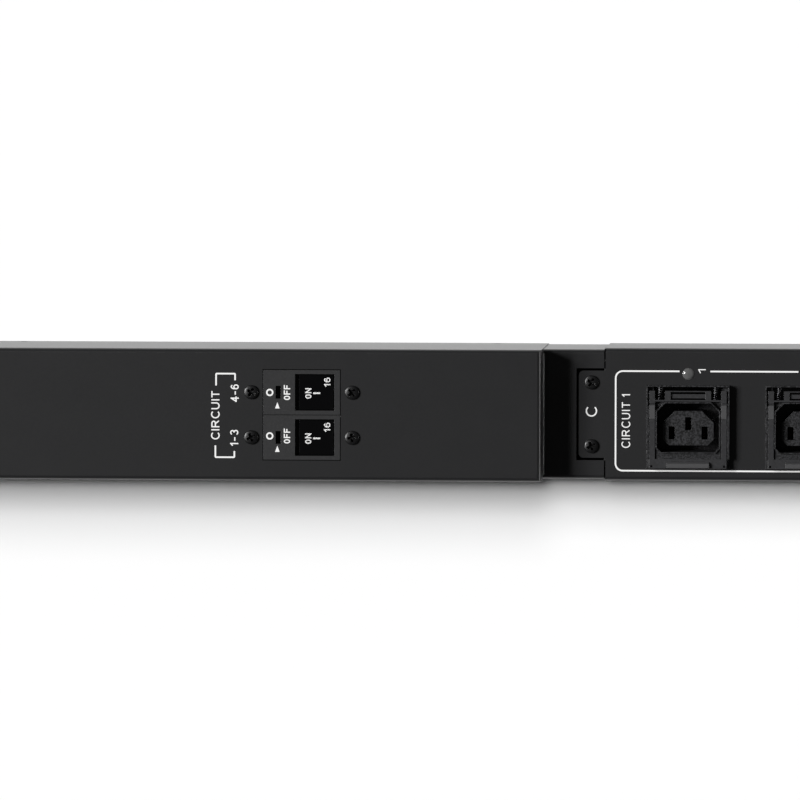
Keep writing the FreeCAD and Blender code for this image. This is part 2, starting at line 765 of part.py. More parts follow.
def main():
    """Build every piece and write it."""
    os.makedirs("parts", exist_ok=True)
    save("breaker_cover", breaker_cover())
    save("outlet_cover", outlet_cover())
    save("chassis_tray", chassis_tray())
    save("left_end_cap", left_end_cap())
    save("right_end_cap", end_cap(x_end, 1, cover_width, cover_depth))
    save("bridge_bracket", bridge_bracket())
    end_x = x_end - end_bracket_inset
    save("end_bracket", bracket(end_x - end_bracket_length, end_x, cover_screw_places()[2:]))
    save("side_screws", Part.makeCompound(side_screws(0)))
    breaker_screws = [pan_screw(x, y, housing_depth) for x, y in breaker_screw_places()]
    save("breaker_screws", Part.makeCompound(breaker_screws))
    cover_screws = [pan_screw(x, y, cover_depth) for x, y in cover_screw_places()]
    save("cover_screws", Part.makeCompound(cover_screws))
    for name, shape in zip(("gland_body", "gland_nut", "gland_locknut"), gland_parts()):
        save(name, shape)

    face_z = housing_depth + breaker_proud
    axle_x = breaker_x + rocker_window_shift - rocker_window_length / 2
    case, rocker = breaker_body(), breaker_rocker()
    blades = []
    for number, row in ((1, -1), (2, 1)):
        y = row * pole_pitch / 2
        save(f"breaker_body_{number}", moved(case, breaker_x, y, face_z))
        save(f"breaker_rocker_{number}", moved(rocker, axle_x, y, face_z - rocker_axle_depth))
        blades += [moved(terminal(), breaker_x + side * terminal_spread / 2, y, face_z) for side in (-1, 1)]
    save("breaker_terminals", Part.makeCompound(blades))

    body, frame, springs = outlet_body(), lock_frame(), lock_springs()
    for number, x in enumerate(outlet_places, 1):
        save(f"outlet_body_{number}", moved(body, x, outlet_y, cover_depth))
        save(f"lock_frame_{number}", moved(frame, x, outlet_y, cover_depth))
        save(f"lock_springs_{number}", moved(springs, x, outlet_y, cover_depth))
    save("indicator_lenses", Part.makeCompound([indicator_lens(x) for x in outlet_places]))
    save("indicator_board", indicator_board())
    for name, shape in busbars().items():
        save(name, shape)


main()
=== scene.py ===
import logging
import math
from dataclasses import dataclass
from enum import Enum

import bmesh
import bpy
from mathutils import Matrix, Vector


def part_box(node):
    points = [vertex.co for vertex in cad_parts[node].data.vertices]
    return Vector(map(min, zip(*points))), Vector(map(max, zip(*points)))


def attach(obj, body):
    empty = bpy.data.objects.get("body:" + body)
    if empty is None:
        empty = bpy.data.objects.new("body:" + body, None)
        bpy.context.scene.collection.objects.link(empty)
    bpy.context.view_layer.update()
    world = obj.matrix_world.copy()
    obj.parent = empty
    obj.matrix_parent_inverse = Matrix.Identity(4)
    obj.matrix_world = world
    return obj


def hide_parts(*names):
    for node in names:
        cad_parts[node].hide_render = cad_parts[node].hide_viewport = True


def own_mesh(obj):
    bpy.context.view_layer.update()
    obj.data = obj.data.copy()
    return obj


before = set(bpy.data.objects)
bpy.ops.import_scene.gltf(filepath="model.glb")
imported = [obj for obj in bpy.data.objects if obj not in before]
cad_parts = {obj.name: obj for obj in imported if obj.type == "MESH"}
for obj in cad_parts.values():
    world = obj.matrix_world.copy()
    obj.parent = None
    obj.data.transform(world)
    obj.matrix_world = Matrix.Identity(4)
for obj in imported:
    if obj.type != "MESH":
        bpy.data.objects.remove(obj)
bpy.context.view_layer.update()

MM = 0.001
LOG = logging.getLogger("rack_power_strip")
CHASSIS = "chassis"
NODES: dict[str, bpy.types.Object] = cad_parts
OUTLET_COUNT = sum(name.startswith("outlet_body_") for name in NODES)
BREAKER_COUNT = sum(name.startswith("breaker_body_") for name in NODES)

Colour = tuple[float, float, float, float]
Outline = list[tuple[float, float]]

# Sockets of a colour mix node: its share, its two colours and its result.
MIX_SHARE, MIX_FIRST, MIX_SECOND, MIX_RESULT = 0, 6, 7, 2
# Scale of a drawn metal's pattern, which is stretched along X.
DRAWN_SCALE = (0.04, 1.0, 1.0)
# Points of a turned profile that lie closer than this are one point.
MERGE_MM = 1e-4
# Softened edges: gaps under the weld are closed, faces that differ by less than the flat angle are joined,
# and bends past the sharp angle are rounded in a few segments.
WELD_MM = 0.002
FLAT_DEG = 0.5
SHARP_DEG = 32.0
EDGE_SEGMENTS = 2


def linear(code: str) -> Colour:
    """Turn an sRGB hex colour to linear light.

    Args:
        code: Six hex digits after a hash sign.

    Returns:
        Red, green, blue and an alpha of one.
    """
    shares = [int(code[k:k + 2], 16) / 255 for k in (1, 3, 5)]
    red, green, blue = (s / 12.92 if s <= 0.04045 else ((s + 0.055) / 1.055) ** 2.4 for s in shares)
    return red, green, blue, 1.0


def add_node(
    tree: bpy.types.NodeTree,
    kind: str,
    inputs: dict | None = None,
    **settings: object,
) -> bpy.types.Node:
    """Add one node with its settings, its values and its links.

    Args:
        tree: Node tree that takes the node.
        kind: Blender's name of the node type.
        inputs: Value or output socket for each input, by the input's name or number.
        settings: Properties of the node itself.

    Returns:
        The new node.
    """
    node = tree.nodes.new(kind)
    for name, value in settings.items():
        setattr(node, name, value)
    for name, value in (inputs or {}).items():
        if isinstance(value, bpy.types.NodeSocket):
            tree.links.new(value, node.inputs[name])
        else:
            node.inputs[name].default_value = value
    return node


class Grain(Enum):
    """How a surface was made, which sets the shape of its finest relief."""

    SPRAYED = "sprayed and baked"
    SPARKED = "moulded in a spark-eroded tool"
    POLISHED = "moulded in a polished tool"
    DRAWN = "drawn, rolled or turned metal"


@dataclass(frozen=True)
class Finish:
    """A real surface: colours, gloss and relief, and a painted highlight on what stands above a height."""

    name: str
    colour: str
    mottle: str
    roughness: float
    grain: Grain
    grain_mm: float
    relief_mm: float
    mottle_mm: float = 18.0
    mottle_detail: float = 4.0
    contrast: float = 1.0
    roughness_swing: float = 0.08
    metallic: float = 0.0
    ior: float = 1.5
    # Painted highlight: a lighter colour for every face above the given height, for the light that raised
    # pads catch.
    raised: str = ""
    raised_mm: float = 0.0

    def pattern(self, tree: bpy.types.NodeTree, place: bpy.types.NodeSocket) -> bpy.types.NodeSocket:
        """Draw the finest relief.

        Args:
            tree: Material's node tree.
            place: Coordinates in metres.

        Returns:
            Height between zero and one.
        """
        scale = 1 / (self.grain_mm * MM)
        if self.grain is Grain.SPARKED:
            pits = add_node(tree, "ShaderNodeTexVoronoi", {"Vector": place, "Scale": scale},
                            feature="SMOOTH_F1")
            return pits.outputs["Distance"]
        if self.grain is Grain.DRAWN:
            along = add_node(tree, "ShaderNodeMapping", {"Vector": place, "Scale": DRAWN_SCALE})
            place = along.outputs["Vector"]
        peel = add_node(tree, "ShaderNodeTexNoise",
                        {"Vector": place, "Scale": scale, "Detail": 3.0, "Roughness": 0.6})
        return peel.outputs["Fac"]

    def mix(
        self,
        tree: bpy.types.NodeTree,
        share: bpy.types.NodeSocket,
        first: Colour | bpy.types.NodeSocket,
        second: str,
    ) -> bpy.types.NodeSocket:
        """Blend two colours.

        Args:
            tree: Material's node tree.
            share: Share of the second colour.
            first: First colour, or the socket that gives it.
            second: Second colour as sRGB hex.

        Returns:
            The socket of the blend.
        """
        blend = add_node(tree, "ShaderNodeMix",
                         {MIX_SHARE: share, MIX_FIRST: first, MIX_SECOND: linear(second)}, data_type="RGBA")
        return blend.outputs[MIX_RESULT]

    def material(self) -> bpy.types.Material:
        """Make the material once.

        Returns:
            The node material, or the one made before under this name.
        """
        made = bpy.data.materials.get(self.name)
        if made is not None:
            return made
        made = bpy.data.materials.new(self.name)
        made.use_nodes = True
        tree = made.node_tree
        tree.nodes.clear()
        place = add_node(tree, "ShaderNodeTexCoord").outputs["Object"]
        spots = 1 / (self.mottle_mm * MM)
        cloud = add_node(tree, "ShaderNodeTexNoise",
                         {"Vector": place, "Scale": spots, "Detail": self.mottle_detail})
        height = self.pattern(tree, place)
        half = 0.5 / self.contrast
        share = add_node(tree, "ShaderNodeMapRange",
                         {"Value": cloud.outputs["Fac"], "From Min": 0.5 - half, "From Max": 0.5 + half})
        tint = self.mix(tree, share.outputs["Result"], linear(self.colour), self.mottle)
        # Painted highlight: faces above the height take the lighter colour.
        if self.raised:
            level = add_node(tree, "ShaderNodeSeparateXYZ", {"Vector": place})
            above = add_node(tree, "ShaderNodeMath",
                             {0: level.outputs["Z"], 1: self.raised_mm * MM}, operation="GREATER_THAN")
            tint = self.mix(tree, above.outputs[0], tint, self.raised)
        gloss = add_node(tree, "ShaderNodeMapRange", {
            "Value": height,
            "To Min": self.roughness - self.roughness_swing,
            "To Max": self.roughness + self.roughness_swing,
        })
        bump = add_node(tree, "ShaderNodeBump",
                        {"Height": height, "Strength": 1.0, "Distance": self.relief_mm * MM})
        shader = add_node(tree, "ShaderNodeBsdfPrincipled", {
            "Base Color": tint,
            "Roughness": gloss.outputs["Result"],
            "Normal": bump.outputs["Normal"],
            "Metallic": self.metallic,
            "IOR": self.ior,
        })
        add_node(tree, "ShaderNodeOutputMaterial", {"Surface": shader.outputs["BSDF"]})
        return made


# Black polyester powder, sprayed on steel and baked: near black, with the soft sheen of fine orange peel.
POWDER_COAT = Finish("black_powder_coat_on_steel", "#1F1F20", "#232324", 0.32, Grain.SPRAYED, 0.9, 0.006,
                     roughness_swing=0.03)
# ABS end caps moulded in a spark-eroded tool: as black as the coat, and duller.
CAP_ABS = Finish("spark_grained_black_abs", "#1C1C1D", "#212122", 0.48, Grain.SPARKED, 0.7, 0.02)
# Polyamide breaker cases: a satin dark grey that stands out from the darker coat round it.
BREAKER_PA = Finish("satin_polyamide_breaker_case", "#272728", "#2C2C2D", 0.38, Grain.SPARKED, 0.45, 0.006)
# Polycarbonate rockers from a polished tool: deep black with a clear gloss.
ROCKER_PC = Finish("gloss_black_polycarbonate", "#050506", "#080809", 0.2, Grain.POLISHED, 2.5, 0.003,
                   roughness_swing=0.04, ior=1.4)
# Glass-filled polyamide outlets: black with grey glass flecks and pits, about a millimetre apart.
OUTLET_PA = Finish("glass_filled_polyamide_outlet", "#050506", "#313133", 0.38, Grain.SPARKED, 0.55, 0.02,
                   mottle_mm=0.65, mottle_detail=1.0, contrast=4.5)
# Acetal lock frames: smooth dark grey, lighter than the outlets; the raised pads get a painted highlight.
LOCK_POM = Finish("fine_grained_acetal_lock", "#272728", "#323234", 0.36, Grain.SPARKED, 0.5, 0.01,
                  mottle_mm=1.2, mottle_detail=1.0, contrast=1.5, raised="#464647", raised_mm=56.4)
# Steel screws in black oxide: dull black crowns with grey where they face the light, darker in the recess.
SCREW_OXIDE = Finish("black_oxide_on_steel", "#070708", "#0D0D0E", 0.36, Grain.DRAWN, 0.25, 0.004,
                     roughness_swing=0.05, ior=1.45)
# Bracket sheet: satin near black, painted shade: its black stands in for the shade in the gaps where it
# shows.
BRACKET_BLACK_AS_SHADE = Finish("black_bracket_steel_painted_shade", "#101011", "#141415", 0.5, Grain.SPRAYED, 0.6, 0.006)
# Nylon gland: smooth black with the soft gloss of a polished tool.
GLAND_NYLON = Finish("moulded_black_nylon", "#19191A", "#1F1F20", 0.34, Grain.POLISHED, 0.8, 0.01)
# Rolled copper bars: warm metal, brown with tarnish after the bars were pierced and bent.
BAR_COPPER = Finish("tarnished_rolled_copper", "#4A3428", "#38281F", 0.42, Grain.DRAWN, 0.3, 0.005,
                    metallic=1.0)
# Epoxy board under green resist: flat green with a light gloss.
BOARD_RESIST = Finish("green_solder_resist", "#1E4A2C", "#23543A", 0.35, Grain.POLISHED, 1.2, 0.006)
# Smoked polycarbonate lenses, unlit: mid grey, glossy and slightly cloudy inside.
LENS_PC = Finish("smoked_polycarbonate_lens", "#484848", "#666666", 0.14, Grain.POLISHED, 1.6, 0.004,
                 mottle_mm=3.0, roughness_swing=0.03, ior=1.58)
# Hard-drawn spring wire, dark from its heat: near-black metal with bright glints along each turn.
SPRING_WIRE = Finish("oil_tempered_spring_wire", "#3A3A3C", "#464648", 0.3, Grain.DRAWN, 0.2, 0.004,
                     metallic=1.0)
# Screen-printed ink: opaque white, dull, with a slight tooth.
WHITE_INK = Finish("white_screen_ink", "#F6F6F5", "#F0F0EF", 0.6, Grain.SPRAYED, 0.6, 0.004)


def middle(node: str) -> Vector:
    """Middle of a CAD node's box in millimetres."""
    low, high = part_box(node)
    return (low + high) / 2 / MM


def top(node: str) -> float:
    """Height of a CAD node's highest point in millimetres."""
    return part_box(node)[1].z / MM


def dress(node: str, finish: Finish, edge_mm: float = 0.0) -> None:
    """Give a CAD node its finish and soften its edges.

    Args:
        node: Name of the CAD node.
        finish: Surface that the node has.
        edge_mm: Width of the softened edge in millimetres, or zero for none.
    """
    piece = NODES[node]
    piece.data.materials.clear()
    piece.data.materials.append(finish.material())
    if edge_mm:
        soften(piece, edge_mm)
    LOG.info("dressed %s in %s", node, finish.name)


def soften(piece: bpy.types.Object, edge_mm: float) -> None:
    """Round a piece's sharp edges with modifiers.

    Args:
        piece: Mesh object.
        edge_mm: Width of the rounded edge in millimetres.
    """
    weld = piece.modifiers.new("weld", "WELD")
    weld.merge_threshold = WELD_MM * MM
    flat = piece.modifiers.new("flats", "DECIMATE")
    flat.decimate_type = "DISSOLVE"
    flat.angle_limit = math.radians(FLAT_DEG)
    bevel = piece.modifiers.new("edges", "BEVEL")
    bevel.width = edge_mm * MM
    bevel.segments = EDGE_SEGMENTS
    bevel.limit_method = "ANGLE"
    bevel.angle_limit = math.radians(SHARP_DEG)
    bevel.use_clamp_overlap = True
    bevel.harden_normals = True


def add_piece(
    name: str,
    mesh: bpy.types.Mesh,
    finish: Finish,
    body: str = CHASSIS,
    replaces: tuple[str, ...] = (),
) -> bpy.types.Object:
    """Put a mesh in the scene as a piece of the object.

    Args:
        name: Name of the piece.
        mesh: Its mesh, in metres, in the shared frame.
        finish: Surface that it has.
        body: CAD body that it moves with.
        replaces: CAD nodes that it stands for.

    Returns:
        The new object.
    """
    mesh.name = name
    mesh.materials.clear()
    mesh.materials.append(finish.material())
    piece = bpy.data.objects.new(name, mesh)
    bpy.context.scene.collection.objects.link(piece)
    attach(piece, body)
    if replaces:
        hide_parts(*replaces)
    LOG.info("added %s in %s on %s", name, finish.name, body)
    return piece


def to_mesh(bm: bmesh.types.BMesh, smooth: bool = False) -> bpy.types.Mesh:
    """Turn a bmesh in millimetres to a mesh in metres.

    Args:
        bm: Mesh in millimetres, freed here.
        smooth: Whether its faces shade smoothly.

    Returns:
        The new mesh.
    """
    bmesh.ops.recalc_face_normals(bm, faces=bm.faces)
    bmesh.ops.scale(bm, vec=(MM, MM, MM), verts=bm.verts)
    for face in bm.faces:
        face.smooth = smooth
    mesh = bpy.data.meshes.new("made")
    bm.to_mesh(mesh)
    bm.free()
    return mesh


def revolve(profile: Outline, steps: int) -> bmesh.types.BMesh:
    """Turn a profile about the Z axis.

    Args:
        profile: Radius and height of each point, the first and last on the axis.
        steps: Number of faces round the axis.

    Returns:
        Closed mesh in millimetres.
    """
    bm = bmesh.new()
    verts = [bm.verts.new((r, 0, z)) for r, z in profile]
    edges = [bm.edges.new(pair) for pair in zip(verts, verts[1:])]
    bmesh.ops.spin(bm, geom=verts + edges, cent=(0, 0, 0), axis=(0, 0, 1), angle=2 * math.pi, steps=steps)
    bmesh.ops.remove_doubles(bm, verts=bm.verts, dist=MERGE_MM)
    return bm


def tube(path: list[Vector], radius: float, sides: int) -> bmesh.types.BMesh:
    """Sweep a round section along a path.

    Args:
        path: Points of the centre line in millimetres.
        radius: Radius of the section.
        sides: Number of faces round it.

    Returns:
        Closed mesh in millimetres.
    """
    bm = bmesh.new()
    rings = []
    normal = Vector((0, 0, 1))
    turns = [2 * math.pi * k / sides for k in range(sides)]
    for index, point in enumerate(path):
        tangent = (path[min(index + 1, len(path) - 1)] - path[max(index - 1, 0)]).normalized()
        normal = (normal - tangent * normal.dot(tangent)).normalized()
        across = tangent.cross(normal)
        spokes = [radius * (math.cos(t) * normal + math.sin(t) * across) for t in turns]
        rings.append([bm.verts.new(point + spoke) for spoke in spokes])
    for ring, after in zip(rings, rings[1:]):
        for k in range(sides):
            bm.faces.new((ring[k - 1], ring[k], after[k], after[k - 1]))
    bm.faces.new(rings[0])
    bm.faces.new(rings[-1])
    return bm


def combine(parts: list[bmesh.types.BMesh]) -> bmesh.types.BMesh:
    """Join several meshes to one.

    Args:
        parts: Meshes in millimetres, freed here.

    Returns:
        One mesh that holds them all.
    """
    whole = bmesh.new()
    for part in parts:
        held = bpy.data.meshes.new("held")
        part.to_mesh(held)
        part.free()
        whole.from_mesh(held)
        bpy.data.meshes.remove(held)
    return whole


def arc(
    centre: tuple[float, float],
    reach: tuple[float, float],
    start: float,
    stop: float,
    step_deg: float = 15.0,
) -> Outline:
    """Points along a round stretch.

    Args:
        centre: Middle of the ellipse.
        reach: Its half width and half height.
        start: First angle in degrees.
        stop: Last angle in degrees.
        step_deg: Widest step between two points.

    Returns:
        The points in order.
    """
    count = math.ceil(abs(stop - start) / step_deg)
    turns = [math.radians(start + (stop - start) * k / count) for k in range(count + 1)]
    return [(centre[0] + reach[0] * math.cos(t), centre[1] + reach[1] * math.sin(t)) for t in turns]


def oval(centre: tuple[float, float], reach: tuple[float, float]) -> list[Outline]:
    """Closed ellipse as its left and right halves."""
    return [arc(centre, reach, 90, 270), arc(centre, reach, -90, 90)]


@dataclass(frozen=True)
class Glyph:
    """One letter or figure of plain upright type: its width and its strokes, as shares of its height."""

    width: float
    strokes: list[Outline]


TYPE: dict[str, Glyph] = {
    " ": Glyph(0.0, []),
    "-": Glyph(0.3, [[(0, 0.42), (0.3, 0.42)]]),
    "C": Glyph(0.8, [arc((0.46, 0.5), (0.46, 0.55), 42, 318)]),
    "F": Glyph(0.5, [[(0, 0), (0, 1)], [(0, 1), (0.5, 1)], [(0, 0.52), (0.44, 0.52)]]),
    "I": Glyph(0.0, [[(0, 0), (0, 1)]]),
    "N": Glyph(0.62, [[(0, 0), (0, 1)], [(0, 1), (0.62, 0)], [(0.62, 0), (0.62, 1)]]),
    "O": Glyph(0.52, oval((0.26, 0.5), (0.26, 0.5))),
    "R": Glyph(0.78, [[(0, 0), (0, 1)], [(0, 1), *arc((0.46, 0.75), (0.27, 0.25), 90, -90), (0, 0.5)],
                      [(0.4, 0.5), (0.78, 0)]]),
    "T": Glyph(0.68, [[(0, 1), (0.68, 1)], [(0.34, 1), (0.34, 0)]]),
    "U": Glyph(0.76, [[(0, 1), *arc((0.38, 0.36), (0.38, 0.4), 180, 360), (0.76, 1)]]),
    "0": Glyph(0.5, oval((0.25, 0.5), (0.25, 0.5))),
    "1": Glyph(0.26, [[(0.26, 0), (0.26, 1)], [(0.26, 1), (0, 0.72)]]),
    "2": Glyph(0.5, [[*arc((0.25, 0.74), (0.25, 0.26), 170, -30), (0, 0)], [(0, 0), (0.5, 0)]]),
    "3": Glyph(0.5, [arc((0.25, 0.76), (0.23, 0.24), 160, -90), arc((0.25, 0.26), (0.25, 0.26), 90, -160)]),
    "4": Glyph(0.56, [[(0.42, 0), (0.42, 1)], [(0.42, 1), (0, 0.3)], [(0, 0.3), (0.56, 0.3)]]),
    "5": Glyph(0.5, [[(0.46, 1), (0.08, 1)], [(0.08, 1), (0.04, 0.52)],
                     arc((0.25, 0.32), (0.25, 0.32), 140, -155)]),
    "6": Glyph(0.5, [*oval((0.25, 0.31), (0.25, 0.31)), arc((0.27, 0.5), (0.27, 0.5), 180, 45)]),
    "7": Glyph(0.5, [[(0, 1), (0.5, 1)], [(0.5, 1), (0.16, 0)]]),
    "8": Glyph(0.5, [*oval((0.25, 0.77), (0.21, 0.23)), *oval((0.25, 0.27), (0.25, 0.27))]),
    "9": Glyph(0.5, [*oval((0.25, 0.69), (0.25, 0.31)), arc((0.23, 0.5), (0.27, 0.5), 0, -135)]),
}


@dataclass
class Face:
    """Flat place that takes print: its origin and its axes in the frame, in millimetres."""

    origin: Vector
    along: Vector
    across: Vector

    def matrix(self) -> Matrix:
        """Work out how the face lies.

        Returns:
            Matrix from the face's own plane to the frame.
        """
        up = self.along.cross(self.across)
        turn = Matrix((self.along, self.across, up)).transposed().to_4x4()
        return Matrix.Translation(self.origin) @ turn


class Cut(Enum):
    """Cut of type: stroke as a share of the letters' height, and the space between them."""

    LIGHT = (0.13, 0.45)
    MEDIUM = (0.15, 0.4)
    BOLD = (0.18, 0.36)


@dataclass(frozen=True)
class Words:
    """A few letters that read up the face: what they say, their middle, height, length and cut."""

    text: str
    at: tuple[float, float]
    cap_mm: float
    length_mm: float
    cut: Cut = Cut.LIGHT


@dataclass
class Printer:
    """Lays screen-printed lines, marks and letters on a face as thin films of ink."""

    film_mm: float = 0.03
    layer_mm: float = 0.01
    layers: int = 4
    line_mm: float = 0.68
    level_within: float = 1e-4
    corner_steps: int = 8

    def lay(self, name: str, outlines: list[Outline], face: Face, body: str = CHASSIS) -> None:
        """Print closed outlines.

        Args:
            name: Name of the piece.
            outlines: Corners of each closed shape on the face.
            face: Place that takes the print.
            body: Body that the face belongs to.
        """
        bm = bmesh.new()
        for index, outline in enumerate(outlines):
            flat = bm.faces.new([bm.verts.new((x, y, 0)) for x, y in outline])
            raised = bmesh.ops.extrude_face_region(bm, geom=[flat])["geom"]
            verts = [v for v in raised if isinstance(v, bmesh.types.BMVert)]
            # Strokes that cross lie at different heights, because faces in one plane show torn patches.
            height = self.film_mm + index % self.layers * self.layer_mm
            bmesh.ops.translate(bm, vec=(0, 0, height), verts=verts)
        bm.transform(face.matrix())
        add_piece(name, to_mesh(bm), WHITE_INK, body)

    def stroke(self, points: Outline, width: float) -> Outline:
        """Outline of a line of even width, with square ends where it is level or upright.

        Args:
            points: Points of the centre line.
            width: Width of the line.

        Returns:
            Closed outline.
        """
        path = [Vector(p) for p in points]
        for end, inner in ((0, 1), (-1, -2)):
            heading = (path[end] - path[inner]).normalized()
            if min(abs(heading.x), abs(heading.y)) < self.level_within:
                path[end] = path[end] + heading * width / 2
        left, right = [], []
        for index, point in enumerate(path):
            before, after = path[max(index - 1, 0)], path[min(index + 1, len(path) - 1)]
            heading = (after - before).normalized()
            side = Vector((-heading.y, heading.x)) * width / 2
            left.append(tuple(point + side))
            right.append(tuple(point - side))
        return left + right[::-1]

    def rounded(self, points: Outline, corner: float) -> Outline:
        """Centre line with each square bend turned to an arc.

        Args:
            points: Corners of the line.
            corner: Radius of the arcs.

        Returns:
            Points along the line.
        """
        spots = [Vector(p) for p in points]
        path = [spots[0]]
        for before, here, after in zip(spots, spots[1:], spots[2:]):
            into = (here - before).normalized()
            out = (after - here).normalized()
            centre = here - into * corner + out * corner
            for k in range(self.corner_steps + 1):
                turn = math.pi / 2 * k / self.corner_steps
                path.append(centre - out * corner * math.cos(turn) + into * corner * math.sin(turn))
        return [tuple(p) for p in path + [spots[-1]]]

    def letters(self, name: str, words: Words, face: Face, body: str = CHASSIS) -> None:
        """Print words that read from the bottom of the face to its top.

        Args:
            name: Name of the piece.
            words: What they say, where and how large.
            face: Place that takes the print.
            body: Body that the face belongs to.
        """
        weight, gap = words.cut.value
        width = weight * words.cap_mm
        height = words.cap_mm - width
        glyphs = [TYPE[letter] for letter in words.text]
        span = sum(glyph.width for glyph in glyphs) + gap * (len(glyphs) - 1)
        scale = (words.length_mm - width) / span
        outlines = []
        start = -span / 2
        for glyph in glyphs:
            for points in glyph.strokes:
                line = [((start + x) * scale, (y - 0.5) * height) for x, y in points]
                outlines.append([(words.at[0] - y, words.at[1] + x) for x, y in self.stroke(line, width)])
            start += glyph.width + gap
        self.lay(name, outlines, face, body)


PRINTER = Printer()


class Lit(Enum):
    """What a lamp lights, as the table's state in the lamp's group."""

    PART = "EXCLUDE"
    TABLE = "INCLUDE"


@dataclass
class Stage:
    """White table, soft key lamps, a low rim lamp, a dim room and the camera of the view.

    A key lamp is given by how far it leans to the right and to the back for each metre of height, and a
    table lamp by how far it leans to the back and by its width in degrees.
    """

    floor_m: float = 60.0
    floor_drop_mm: float = 0.2
    floor_colour: str = "#F7F7F7"
    floor_lift: float = 0.01
    key_watts: float = 3.04
    key_from: tuple[tuple[float, float], ...] = ((-0.8, 0.1), (-1.2, 0.145), (-0.72, 0.24), (-1.0, 0.42))
    key_spread_deg: float = 8.0
    table_keys: tuple[tuple[float, float], ...] = ((0.089, 4.5), (0.174, 12.6), (0.198, 14.4), (0.403, 18.4))
    rim_watts: float = 0.5
    table_rim_watts: float = 2.0
    rim_spread_deg: float = 3.0
    rim_from: tuple[float, float, float] = (1.0, 0.03, 0.1)
    fill: float = 0.04
    target_mm: tuple[float, float, float] = (-281.72, 6.05, 60.0)
    tilt_x_deg: float = 3.891
    tilt_y_deg: float = 2.856
    roll_deg: float = 0.089
    distance_m: float = 3.0
    lens_mm: float = 317.3
    sensor_mm: float = 36.0
    sight_m: float = 100.0

    def build(self) -> None:
        """Make the floor, the lights and the camera."""
        self.lights(self.floor())
        self.camera()

    def floor(self) -> bpy.types.Object:
        """White table that keeps the object's shadow.

        Returns:
            The table.
        """
        material = bpy.data.materials.new("white_table_laminate")
        material.use_nodes = True
        tree = material.node_tree
        tree.nodes.clear()
        matt = add_node(tree, "ShaderNodeBsdfDiffuse", {"Color": linear(self.floor_colour)})
        # The camera, reflections and clear faces see this lift. Matt faces get no light from it.
        ray = add_node(tree, "ShaderNodeLightPath")
        seen = add_node(tree, "ShaderNodeMath",
                        {0: ray.outputs["Is Camera Ray"], 1: ray.outputs["Is Glossy Ray"]},
                        operation="MAXIMUM")
        shown = add_node(tree, "ShaderNodeMath", {0: seen.outputs[0], 1: ray.outputs["Is Transmission Ray"]},
                         operation="MAXIMUM")
        level = add_node(tree, "ShaderNodeMath", {0: shown.outputs[0], 1: self.floor_lift},
                         operation="MULTIPLY")
        lift = add_node(tree, "ShaderNodeEmission", {"Strength": level.outputs[0]})
        both = add_node(tree, "ShaderNodeAddShader", {0: matt.outputs[0], 1: lift.outputs[0]})
        add_node(tree, "ShaderNodeOutputMaterial", {"Surface": both.outputs[0]})
        bm = bmesh.new()
        bmesh.ops.create_grid(bm, x_segments=1, y_segments=1, size=self.floor_m / 2)
        mesh = bpy.data.meshes.new("table")
        bm.to_mesh(mesh)
        bm.free()
        mesh.materials.append(material)
        table = bpy.data.objects.new("table", mesh)
        table.location.z = -self.floor_drop_mm * MM
        bpy.context.scene.collection.objects.link(table)
        return table

    def lights(self, table: bpy.types.Object) -> None:
        """Soft key lamps on the left, a small rim lamp low on the right and a dim room.

        The key lamps light the part alone. As many lamps straight across the strip light the table, so that
        the part's shadow there is even from end to end. The rim lamp is weak on the part and stronger on the
        table.

        Args:
            table: The floor.
        """
        share = self.key_watts / len(self.key_from)
        for number, lean in enumerate(self.key_from, 1):
            source = Vector((*lean, 1.0))
            lamp = self.sun(f"key_{number}", share * source.length, self.key_spread_deg, source)
            self.keep_to(lamp, Lit.PART, table)
        for number, (lean, spread_deg) in enumerate(self.table_keys, 1):
            source = Vector((0.0, lean, 1.0))
            lamp = self.sun(f"table_key_{number}", share * source.length, spread_deg, source)
            self.keep_to(lamp, Lit.TABLE, table)
        for lit, watts in ((Lit.PART, self.rim_watts), (Lit.TABLE, self.table_rim_watts)):
            lamp = self.sun(f"{lit.name.lower()}_rim", watts, self.rim_spread_deg, Vector(self.rim_from))
            self.keep_to(lamp, lit, table)
        world = bpy.data.worlds.new("studio")
        world.use_nodes = True
        tree = world.node_tree
        tree.nodes.clear()
        air = add_node(tree, "ShaderNodeBackground", {"Color": (1, 1, 1, 1), "Strength": self.fill})
        add_node(tree, "ShaderNodeOutputWorld", {"Surface": air.outputs[0]})
        bpy.context.scene.world = world
        bpy.context.scene.view_settings.view_transform = "Standard"

    def keep_to(self, lamp: bpy.types.Object, lit: Lit, table: bpy.types.Object) -> None:
        """Let a lamp light only the part or only the table.

        Args:
            lamp: The lamp.
            lit: What it lights.
            table: The floor.
        """
        group = bpy.data.collections.new(f"lit_by_{lamp.name}")
        group.objects.link(table)
        group.collection_objects[0].light_linking.link_state = lit.value
        lamp.light_linking.receiver_collection = group

    def sun(self, name: str, watts: float, spread_deg: float, source: Vector) -> bpy.types.Object:
        """Add one far lamp.

        Args:
            name: Name of the lamp.
            watts: Its light on a face turned to it, in watts per square metre.
            spread_deg: Its width in the sky.
            source: Direction that the light comes from.

        Returns:
            The lamp.
        """
        light = bpy.data.lights.new(name, "SUN")
        light.energy = watts
        light.angle = math.radians(spread_deg)
        lamp = bpy.data.objects.new(name, light)
        lamp.rotation_mode = "QUATERNION"
        lamp.rotation_quaternion = source.to_track_quat("Z", "Y")
        bpy.context.scene.collection.objects.link(lamp)
        return lamp

